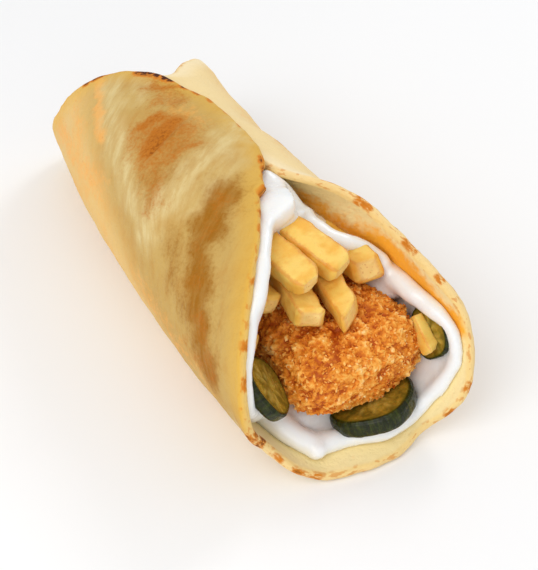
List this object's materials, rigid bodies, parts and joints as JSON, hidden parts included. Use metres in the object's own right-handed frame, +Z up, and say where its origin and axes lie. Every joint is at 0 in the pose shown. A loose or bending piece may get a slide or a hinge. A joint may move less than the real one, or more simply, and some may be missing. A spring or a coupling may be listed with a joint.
{
  "type": "breaded chicken wrap",
  "caption": "Thin toasted flatbread rolled round breaded chicken, fries and pickle slices in white sauce, lying seam up with its slanted open end showing the filling.",
  "frame": {"origin": "on the ground under the middle of the wrap's box", "axes": "+Z up, the roll lies along Y with its open filled end towards -Y, the flap folds over from the -X side"},
  "size_m": [0.067, 0.1612, 0.0576],
  "materials": {
    "toasted_flatbread": "dry toasted bread, floury with browned spots",
    "white_sauce": "thick glossy white garlic sauce",
    "fried_breading": "craggy golden brown fried crumb",
    "fried_potato": "fried potato, slightly oily",
    "pickled_cucumber": "wet pickled cucumber, dark green skin"
  },
  "bodies": {
    "root": {"flatbread": "toasted_flatbread", "garlic_sauce": "white_sauce", "breaded_chicken": "fried_breading", "fry_top": "fried_potato", "fry_left_top": "fried_potato", "fry_right_top": "fried_potato", "fry_front_left": "fried_potato", "fry_front_middle": "fried_potato", "fry_left": "fried_potato", "fry_left_low": "fried_potato", "fry_right": "fried_potato", "pickle_slice_front": "pickled_cucumber", "pickle_slice_left": "pickled_cucumber", "pickle_slice_right": "pickled_cucumber"}
  },
  "joints": []
}
